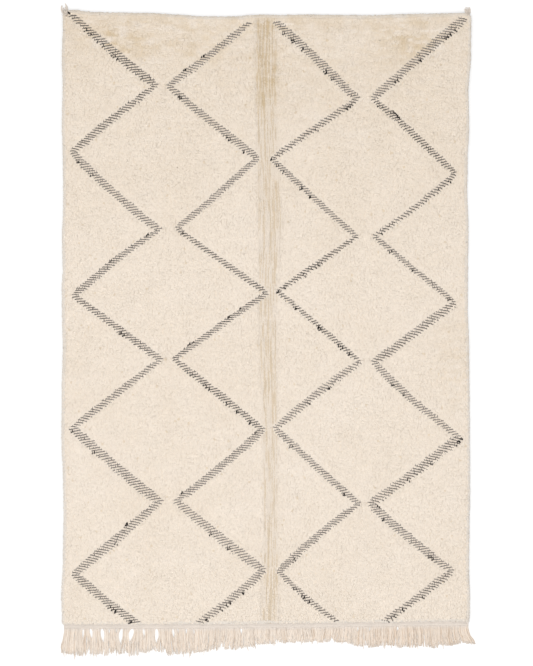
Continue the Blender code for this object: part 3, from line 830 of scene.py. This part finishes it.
def pile_ground():
    """The knotted ground of the pile: a closed slab with a rounded rim and soft top."""
    columns, rows = GROUND.columns, GROUND.rows
    u, v = np.meshgrid(np.linspace(-1, 1, columns), np.linspace(-1, 1, rows))
    u, v = u.ravel(), v.ravel()

    def layer(inset, height=None):
        x, y = RUG.settle(u * (HALF_WIDTH - inset), v * (HALF_LENGTH - inset))
        z = RUG.ground(x, y) - BUILD.root_depth if height is None else np.full(len(x), height)
        return np.column_stack([x, y, z])

    grid = np.arange(columns * rows).reshape(rows, columns)
    edge = np.concatenate([grid[0, :-1], grid[:-1, -1], grid[-1, :0:-1], grid[:0:-1, 0]])
    top, bottom = layer(GROUND.top_inset), layer(*GROUND_RIM[0])
    points = np.concatenate([top, bottom, *(layer(*ring)[edge] for ring in GROUND_RIM[1:])])
    cells = np.stack([grid[:-1, :-1], grid[:-1, 1:], grid[1:, 1:], grid[1:, :-1]], axis=-1)
    cells = cells.reshape(-1, 4)
    faces = [cells, cells[:, ::-1] + columns * rows]
    loops = [edge + columns * rows]
    loops += np.arange(2 * columns * rows, len(points)).reshape(-1, len(edge)).tolist() + [edge]
    for low, high in zip(loops, loops[1:]):
        faces.append(np.column_stack([low, np.roll(low, -1), np.roll(high, -1), high]))
    x, y = points[:, 0], points[:, 1]
    # tip near 0 gives the ground the darker root colour: painted shade between the locks.
    values = {"tip": GROUND.tip, "strand": GROUND.strand, "across": x * GROUND.fibres,
              "age": np.clip(wool_age(x, y) + GROUND.age, 0, 1)}
    return add_mesh("pile_ground", points, faces, values)


def kilim_band():
    """The flat-woven end: weft rows beaten over and under the warps, on a thin closed strip."""
    west = -HALF_WIDTH + BAND.west_inset
    east = HALF_WIDTH - BAND.east_inset
    columns = int((east - west) / (BAND.warp_pitch / 2)) + 1
    profile = 2 * BAND.wefts + 1
    x = np.linspace(west, east, columns)
    back = RUG.settle(x, np.full(columns, -HALF_LENGTH))[1] - PIECE_GAP
    warp = np.arange(columns) // 2
    rows = []
    for step in range(profile):
        share = step / (profile - 1)
        weave = np.cos(math.pi * (warp + step // 2)) * (np.arange(columns) % 2)
        fell = min(share, 1 - share) * profile / 2
        edge = math.sqrt(min(1.0, BAND.edge + fell * BAND.edge))
        crest = BAND.relief * (step % 2) * (BAND.crest + BAND.crest * weave)
        z = (BAND.thickness - BAND.relief * BAND.sunk) * edge + crest
        ripple = BAND_RIPPLE.height * np.sin(x * BAND_RIPPLE.across + step * BAND_RIPPLE.turn)
        rows.append(np.column_stack([x, back - BAND.depth * share + ripple, z]))
    for share, height in BAND_UNDERSIDE:
        rows.append(np.column_stack([x, back - BAND.depth * share, np.full(columns, height)]))
    points = np.concatenate(rows)
    grid = np.arange(len(points)).reshape(len(rows), columns)
    ahead = np.roll(grid, -1, axis=0)
    cells = np.stack([grid[:, :-1], ahead[:, :-1], ahead[:, 1:], grid[:, 1:]], axis=-1)
    ends = [grid[::-1, 0][None], grid[:, -1][None]]
    crests = np.repeat(np.arange(len(rows)) % 2, columns)
    strand = np.random.default_rng(SEEDS.band).uniform(0, 1, len(rows))
    values = {"tip": BAND.low_tip + BAND.high_tip * crests, "strand": np.repeat(strand, columns),
              "across": 0.0, "age": BAND.age}
    return add_mesh("kilim_band", points, [cells.reshape(-1, 4), *ends], values)


def selvedge():
    """The overcast cord along both sides and the far end."""
    corner = SELVEDGE.corner
    half_x = HALF_WIDTH - SELVEDGE.inset
    half_y = HALF_LENGTH - SELVEDGE.inset
    arc = np.radians(np.linspace(0, 90, SELVEDGE.arc_steps))[1:-1]
    side = np.arange(-HALF_LENGTH + SELVEDGE.start, half_y - corner, SELVEDGE.step)
    end = np.arange(-half_x + corner, half_x - corner, SELVEDGE.step)
    x = np.concatenate([
        np.full(len(side), -half_x), -half_x + corner - corner * np.cos(arc),
        end, half_x - corner + corner * np.sin(arc), np.full(len(side), half_x),
    ])
    y = np.concatenate([
        side, half_y - corner + corner * np.sin(arc), np.full(len(end), half_y),
        half_y - corner + corner * np.cos(arc), side[::-1],
    ])
    x, y = RUG.settle(x, y)
    steps = len(x)
    spine = np.column_stack([x, y, np.full(steps, SELVEDGE.radius + FLOOR_GAP)])
    wraps = np.arange(steps) * SELVEDGE.step / SELVEDGE.wrap * 2 * math.pi
    radii = SELVEDGE.radius * (1 - SELVEDGE.bulge + SELVEDGE.bulge * np.cos(wraps))
    strand = np.random.default_rng(SEEDS.selvedge).uniform(0, 1, (1, steps))
    values = {"tip": SELVEDGE.tip, "strand": strand, "age": SELVEDGE.age}
    return tube_mesh("selvedge_cord", spine[None], radii[None], values, sides=SELVEDGE.sides)


# ---- fringe and tassels

def slot_push(x, down):
    """How far the fringe's slots push yarns sideways, at distances down from the band."""
    push = np.zeros(down.shape)
    for slot in FRINGE_SLOTS:
        away = x[:, None] - slot.east
        share = np.minimum(down / slot.length, 1.0)
        opened = SLOT.root * (1 - share) + np.sin(math.pi * share ** SLOT.power)
        near = np.exp(-np.abs(away) / SLOT.reach)
        leant = slot.lean * np.minimum(down, slot.length)
        push += near * (np.sign(away) * (slot.width * opened) / 2 + leant)
    return push


def fringe_clumps(x, draw):
    """Which clump each yarn gathers in, and that clump's middle, in uneven widths."""
    count = int(2 * HALF_WIDTH / CLUMP.narrow)
    widths = draw.uniform(CLUMP.narrow, CLUMP.wide, count)
    edges = np.cumsum(widths) - HALF_WIDTH - CLUMP.wide
    clump = np.searchsorted(edges, x)
    middles = (edges[:-1] + edges[1:]) / 2
    return clump, middles[clump - 1]


def fringe_length(x, draw):
    """How long the yarns are at places along the band, with its notches."""
    length = curve(FRINGE_LENGTH, "length", x) * (1 + noise(LENGTH_UNEVEN, x))
    for notch in NOTCHES:
        length = length * (1 - notch.depth * np.exp(-((x - notch.east) / notch.width) ** 2))
    wisp = 1 + LENGTHS.wisp * (draw.uniform(0, 1, len(x)) < LENGTHS.wisps)
    short = LENGTHS.scatter * draw.uniform(0, 1, len(x)) ** LENGTHS.scatter_power
    return length * wisp * (1 - short)


def fringe_sideways(middle, clump, share, down, from_end, draw):
    """How far yarns sweep, flare, sway, stray and curl sideways along their lengths."""
    swing = draw.normal(0, CLUMP.swing, clump.max() + 1)[clump]
    for wave in SWEEPS:
        swing = swing + wave.height * np.sin(wave.across * middle + wave.turn)
    swing = swing[:, None] * (down / SWEEP.length) ** SWEEP.power
    flare = np.where(middle > 0, FLARE.east, -FLARE.west) * np.exp(-from_end / FLARE.reach)
    swing = swing + flare[:, None] * smoothstep(share * FLARE.run) * 2
    waving = SWAY.across * middle[:, None] + SWAY.turn + SWAY_TURN * share
    sway = SWAY.height * np.sin(waving) * share
    turn = draw.uniform(0, 2 * math.pi, clump.max() + 1)[clump]
    sway = sway + CLUMP.sway * np.sin(turn[:, None] + CLUMP.sway_turn * share) * share
    each = (len(middle), 1)
    stray = draw.normal(0, STRAY.scatter, each) * share ** STRAY.power
    curling = share * draw.uniform(CURL.slow, CURL.fast, each) + draw.uniform(0, CURL.turn, each)
    curl = CURL.height * np.sin(curling)
    return swing, sway, stray, curl * (CURL.at_root + share)


def fringe(draw):
    """The warp fringe: two layers of soft twisted yarn that part, sweep and fray."""
    west = -HALF_WIDTH + BAND.west_inset + FRINGE.inset
    east = HALF_WIDTH - BAND.east_inset - FRINGE.inset
    crowded = np.linspace(0, FRINGE.end_reach, FRINGE.end_yarns)
    evenly = np.linspace(west, east, FRINGE.yarns)
    middle = np.sort(np.concatenate([evenly, west + crowded, east - crowded]))
    count = len(middle)
    each = (count, 1)
    clump, clump_middle = fringe_clumps(middle, draw)
    middle = middle + draw.normal(0, FRINGE.jitter, count)
    length = fringe_length(middle, draw)
    length = length * (1 + draw.normal(0, CLUMP.lengths, clump.max() + 1)[clump])
    share = np.linspace(0, 1, YARN.rings)[None, :] ** YARN.ring_spread
    down = length[:, None] * share
    gathering = smoothstep(share * CLUMP.gather_run)
    gather = (clump_middle - middle)[:, None] * CLUMP.gather * gathering
    from_end = np.minimum(middle - west, east - middle)
    x = middle[:, None] + slot_push(middle, down) + gather
    for sideways in fringe_sideways(middle, clump, share, down, from_end, draw):
        x = x + sideways
    settled = RUG.settle(middle, np.full(count, -HALF_LENGTH))[1]
    y = (settled - PIECE_GAP - BAND.depth + FRINGE.under_band)[:, None] - down
    radius = YARN.radius * draw.uniform(YARN.thinnest, YARN.thickest, count)[:, None]
    tapering = smoothstep((share - YARN.taper_start) / (1 - YARN.taper_start))
    radii = radius * (1 - YARN.taper * tapering)
    upper = np.arange(count)[:, None] % 2
    lift = upper * draw.uniform(LIFT.least, LIFT.most, each) * smoothstep(share * LIFT.run)
    z = radii + FLOOR_GAP + lift * (1 - LIFT.lost * share ** LIFT.power)
    strand = draw.uniform(0, 1, each)
    tanned = (draw.uniform(0, 1, each) < TANNED.share) * TANNED.amount
    age = YARN_AGE.base + risen(YARN_AGE_EAST, x) + tanned
    age = age + YARN_AGE.scatter * draw.uniform(-1, 1, each)
    leaving = smoothstep(down / FRINGE.band_fade)
    age = np.clip(age * (YARN_AGE.at_band + YARN_AGE.below * leaving), 0, 1)
    values = {"tip": leaving, "strand": strand, "age": age}
    return tube_mesh("warp_fringe", np.stack([x, y, z], axis=-1), radii, values,
                     twist=YARN.twist, lobes=YARN.lobes)


def corner_tassel(name, place, clumps, draw):
    """A corner tassel: selvedge yarns out of a bound neck, bending apart in loose clumps."""
    heading = math.radians(place.heading)
    out = np.array([math.cos(heading), math.sin(heading), 0])
    along = np.array([-out[1], out[0], 0])
    start = np.array([place.east, place.north, 0])
    share = np.linspace(0, 1, TASSEL.rings)[:, None]
    step = share[:, 0]
    order = [clump for clump in clumps for _ in range(clump.yarns)]
    yarns = len(order)
    turned = 1 if clumps[0].tip_along > clumps[-1].tip_along else -1
    spines = np.empty((yarns, TASSEL.rings, 3))
    for number, clump in enumerate(order):
        slot = (0.5 - (number + 0.5) / yarns) * turned
        root = start - out * place.tail + along * slot * place.neck_width
        spread = draw.normal(0, 1.0, 2)
        bend_along = clump.bend_along + spread[0] * TASSEL.bend_scatter
        bend = start + along * bend_along + out * clump.bend_out
        tip = start + along * (clump.tip_along + spread[1] * TASSEL.tip_scatter)
        tip = tip + out * clump.tip_out * draw.uniform(TASSEL.shortest, 1.0)
        path = root * (1 - share) ** 2 + 2 * bend * share * (1 - share) + tip * share ** 2
        waving = share * TASSEL_WAVE.across + number * TASSEL_WAVE.turn
        spines[number] = path + along[None, :] * TASSEL_WAVE.height * np.sin(waving)
        level = TASSEL.level + TASSEL.layer * (number % TASSEL.layers)
        perch = place.perch * (1 - smoothstep((step - TASSEL.off_pile) / TASSEL.drop_run))
        spines[number, :, 2] = perch + level * (1 - TASSEL.sink * step) + PIECE_GAP
    radii = TASSEL.radius * (1 - TASSEL.taper * step ** TASSEL.taper_power)
    radii = np.broadcast_to(radii, (yarns, TASSEL.rings))
    spines[:, :, 2] = np.maximum(spines[:, :, 2], radii + FLOOR_GAP)
    values = {"tip": step, "strand": draw.uniform(0, 1, (yarns, 1)), "age": TASSEL.age}
    return tube_mesh(name, spines, radii, values, twist=YARN.twist, lobes=YARN.lobes)


# ---- finishes

def new_group(name, inputs, output):
    """An empty shader group with its named inputs and one output."""
    group = bpy.data.node_groups.new(name, "ShaderNodeTree")
    for label, kind, value in inputs:
        socket = group.interface.new_socket(name=label, in_out="INPUT", socket_type=kind)
        socket.default_value = value
    group.interface.new_socket(name=output[0], in_out="OUTPUT", socket_type=output[1])
    return group, group.nodes.new("NodeGroupInput"), group.nodes.new("NodeGroupOutput")


def feed(made, **links):
    """Set or link a node's inputs, by name with _ for a space, or by number after one _."""
    for label, value in links.items():
        key = int(label[1:]) if label[0] == "_" else label.replace("_", " ")
        if isinstance(value, bpy.types.NodeSocket):
            made.id_data.links.new(value, made.inputs[key])
        else:
            made.inputs[key].default_value = value
    return made


def node(tree, kind, settings=None, **links):
    """A node with its settings, and its inputs set or linked."""
    made = tree.nodes.new(kind)
    for label, value in (settings or {}).items():
        setattr(made, label, value)
    return feed(made, **links)


def maths(tree, operation, first, second=0.0):
    """The output of one sum."""
    return node(tree, "ShaderNodeMath", {"operation": operation}, _0=first, _1=second).outputs[0]


def point_value(tree, label):
    """A number that the mesh holds for each point."""
    return node(tree, "ShaderNodeAttribute", {"attribute_name": label}).outputs["Fac"]


def fibre_lines():
    """Fine fibres drawn out along each lock or yarn, with a slower fluff over them."""
    number = "NodeSocketFloat"
    group, given, out = new_group("fibre lines", [
        ("Fibres Across", number, 3.5), ("Fibres Along", number, 1.3), ("Fluff", number, 0.4),
    ], ("Height", number))
    strand = point_value(group, "strand")
    across = maths(group, "MULTIPLY", point_value(group, "across"), given.outputs["Fibres Across"])
    across = maths(group, "ADD", across, maths(group, "MULTIPLY", strand, WOOL.strand_across))
    along = maths(group, "MULTIPLY", point_value(group, "tip"), given.outputs["Fibres Along"])
    along = maths(group, "ADD", along, maths(group, "MULTIPLY", strand, WOOL.strand_along))
    drawn = node(group, "ShaderNodeCombineXYZ", X=across, Y=along).outputs[0]
    fibres = node(group, "ShaderNodeTexNoise", {"noise_dimensions": "2D"}, Vector=drawn,
                  Scale=1.0, Detail=2.0, Roughness=0.6).outputs[0]
    place = node(group, "ShaderNodeTexCoord").outputs["Object"]
    fluff = node(group, "ShaderNodeTexNoise", Vector=place, Scale=WOOL.fluff_scale,
                 Detail=2.0).outputs[0]
    fluff = maths(group, "MULTIPLY", fluff, given.outputs["Fluff"])
    feed(out, Height=maths(group, "ADD", fibres, fluff))
    return group


def wool_tone():
    """Colour of wool: paler at its tips, darker at its roots, yellower where aged, uneven from
    strand to strand. The pile's darker roots are partly its own tone, partly painted shade deep in
    the pile.
    """
    colour, number = "NodeSocketColor", "NodeSocketFloat"
    group, given, out = new_group("wool tone", [
        ("Tip Colour", colour, (0.8, 0.7, 0.6, 1)), ("Root Colour", colour, (0.6, 0.5, 0.4, 1)),
        ("Aged Colour", colour, (0.7, 0.6, 0.4, 1)), ("Strand Effect", number, 0.1),
        ("Mottle Effect", number, 0.1), ("Mottle Scale", number, 30.0),
        ("Fibres", number, 0.5), ("Fibre Effect", number, 0.1),
    ], ("Colour", colour))
    grown = maths(group, "POWER", point_value(group, "tip"), WOOL.tip_power)
    grown = node(group, "ShaderNodeMix", {"data_type": "RGBA"}, _0=grown,
                 _6=given.outputs["Root Colour"], _7=given.outputs["Tip Colour"]).outputs[2]
    aged = node(group, "ShaderNodeMix", {"data_type": "RGBA"}, _0=point_value(group, "age"),
                _6=grown, _7=given.outputs["Aged Colour"]).outputs[2]
    place = node(group, "ShaderNodeTexCoord").outputs["Object"]
    mottle = node(group, "ShaderNodeTexNoise", Vector=place, Scale=given.outputs["Mottle Scale"],
                  Detail=4.0, Roughness=0.6).outputs[0]
    value = 1.0
    for level, effect in ((point_value(group, "strand"), "Strand Effect"),
                          (mottle, "Mottle Effect"), (given.outputs["Fibres"], "Fibre Effect")):
        uneven = maths(group, "SUBTRACT", level, 0.5)
        uneven = maths(group, "MULTIPLY", uneven, given.outputs[effect])
        value = maths(group, "ADD", uneven, value)
    shaded = node(group, "ShaderNodeHueSaturation", Value=value, Color=aged)
    feed(out, Colour=shaded.outputs[0])
    return group


FIBRE_LINES = fibre_lines()
WOOL_TONE = wool_tone()


def wool_material(look):
    """A matt wool finish: its tone from the wool group, and fine fibres as relief."""
    material = bpy.data.materials.new(look.name)
    material.use_nodes = True
    tree = material.node_tree
    fibres = node(tree, "ShaderNodeGroup", {"node_tree": FIBRE_LINES},
                  Fibres_Across=look.across, Fibres_Along=look.along).outputs["Height"]
    tone = node(tree, "ShaderNodeGroup", {"node_tree": WOOL_TONE}, Tip_Colour=(*look.tip, 1),
                Root_Colour=(*look.root, 1), Aged_Colour=(*look.aged, 1),
                Strand_Effect=look.strand, Mottle_Effect=look.mottle,
                Fibre_Effect=look.fibre, Fibres=fibres)
    bump = node(tree, "ShaderNodeBump", Strength=look.relief, Distance=WOOL.relief_depth,
                Height=fibres)
    feed(tree.nodes["Principled BSDF"], Base_Color=tone.outputs["Colour"],
         Normal=bump.outputs["Normal"], Roughness=WOOL.roughness,
         Specular_IOR_Level=WOOL.specular, Sheen_Weight=look.sheen,
         Sheen_Roughness=WOOL.sheen_roughness)
    return material


def floor_material():
    """A plain white studio floor."""
    material = bpy.data.materials.new("studio_floor")
    material.use_nodes = True
    feed(material.node_tree.nodes["Principled BSDF"], Base_Color=(*STUDIO.floor_white, 1),
         Roughness=0.9, Specular_IOR_Level=0.0)
    return material


# ---- the scene

def add_camera():
    """The camera straight above the rug, with the photograph's frame."""
    view_height = CAMERA.pixels_high * CAMERA.metres_a_pixel
    distance = view_height * CAMERA.lens / CAMERA.sensor
    data = bpy.data.cameras.new("overhead_camera")
    data.lens = CAMERA.lens
    data.sensor_width = CAMERA.sensor
    camera = bpy.data.objects.new("overhead_camera", data)
    camera.location = (CAMERA.east, CAMERA.north, distance + PILE_HEIGHT)
    bpy.context.scene.collection.objects.link(camera)
    bpy.context.scene.camera = camera


def add_light():
    """A white surround and one large soft light overhead, a little to the fringe's side."""
    world = bpy.data.worlds.new("white_surround")
    bpy.context.scene.world = world
    world.use_nodes = True
    feed(world.node_tree.nodes["Background"], Color=(1.0, 1.0, 1.0, 1.0),
         Strength=STUDIO.surround)
    data = bpy.data.lights.new("overhead_softbox", "AREA")
    data.shape = "SQUARE"
    data.size = STUDIO.softbox
    data.energy = STUDIO.power
    light = bpy.data.objects.new("overhead_softbox", data)
    light.location = STUDIO.place
    light.rotation_euler = (-light.location).to_track_quat("-Z", "Y").to_euler()
    bpy.context.scene.collection.objects.link(light)
    bpy.context.scene.view_settings.view_transform = "Standard"


def add_floor():
    """The floor under the rug."""
    corners = np.array([(-1, -1), (1, -1), (1, 1), (-1, 1)]) * STUDIO.floor_half
    points = np.column_stack([corners, np.full(4, -STUDIO.floor_drop)])
    floor = add_mesh("studio_floor", points, [np.array([(0, 1, 2, 3)])])
    floor.data.materials.append(floor_material())


def finish_piece(piece, material, slot, *nodes):
    """Give a piece its finish, hang it from the root body and hide the solids it takes the place
    of.
    """
    piece.data.materials.append(material)
    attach(piece, "root")
    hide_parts(*nodes)
    return piece


def make_pile(wools):
    """The pile's pieces: the ivory locks in strips, the rims and the lattice."""
    draw = np.random.default_rng(SEEDS.pile)
    field = field_locks(draw)
    fold = fold_locks(draw)
    dark, among, beside = lattice_rows(draw)
    rim = rim_locks(draw)
    ivory = np.concatenate([field[~over_lattice(field)], fold[~over_lattice(fold)], beside])
    for locks in (ivory, among, dark, rim):
        locks["x"], locks["y"] = RUG.settle(locks["x"], locks["y"])
    strips = np.array_split(ivory[np.argsort(ivory["y"], kind="stable")], PILE.strips)
    batches = [(f"pile_locks_{number + 1}", strip, "ivory_pile_wool", "ivory_wool", PILE_SOFTNESS)
               for number, strip in enumerate(strips)]
    batches += [
        # The rim locks' greyer wool is painted shade on the pile's rounded edge.
        ("rim_locks", rim, "pale_rim_wool", "ivory_wool", RIM_SOFTNESS),
        ("between_locks", among, "smoked_ivory_wool", "ivory_wool", PILE_SOFTNESS),
        ("lattice_locks", dark, "charcoal_pile_wool", "dark_wool", LATTICE_SOFTNESS),
    ]
    return [finish_piece(lock_mesh(name, locks, draw, softness), wools[wool], slot, "pile_field")
            for name, locks, wool, slot, softness in batches]


def make_tassel(side, place, clumps, seed, wool):
    """One finished corner tassel."""
    piece = corner_tassel("tassel_" + side, place, clumps, np.random.default_rng(seed))
    return finish_piece(piece, wool, "warp_yarn", "corner_tassel_" + side)


def make_rug():
    """Every piece of the rug."""
    wools = {look.name: wool_material(look) for look in LOOKS}
    ground = finish_piece(pile_ground(), wools["ivory_pile_wool"], "ivory_wool", "pile_field")
    on_ground = make_pile(wools)
    on_ground.append(
        finish_piece(selvedge(), wools["grey_selvedge_yarn"], "warp_yarn", "pile_field"))
    band = finish_piece(kilim_band(), wools["pale_weft_yarn"], "warp_yarn", "kilim_end_fringe")
    yarns = finish_piece(fringe(np.random.default_rng(SEEDS.fringe)), wools["undyed_warp_yarn"],
                         "warp_yarn", "kilim_end_fringe")
    tassel = wools["greyed_tassel_yarn"]
    left = make_tassel("left", LEFT_TASSEL, LEFT_CLUMPS, SEEDS.left_tassel, tassel)
    right = make_tassel("right", RIGHT_TASSEL, RIGHT_CLUMPS, SEEDS.right_tassel, tassel)


add_camera()
add_light()
add_floor()
make_rug()
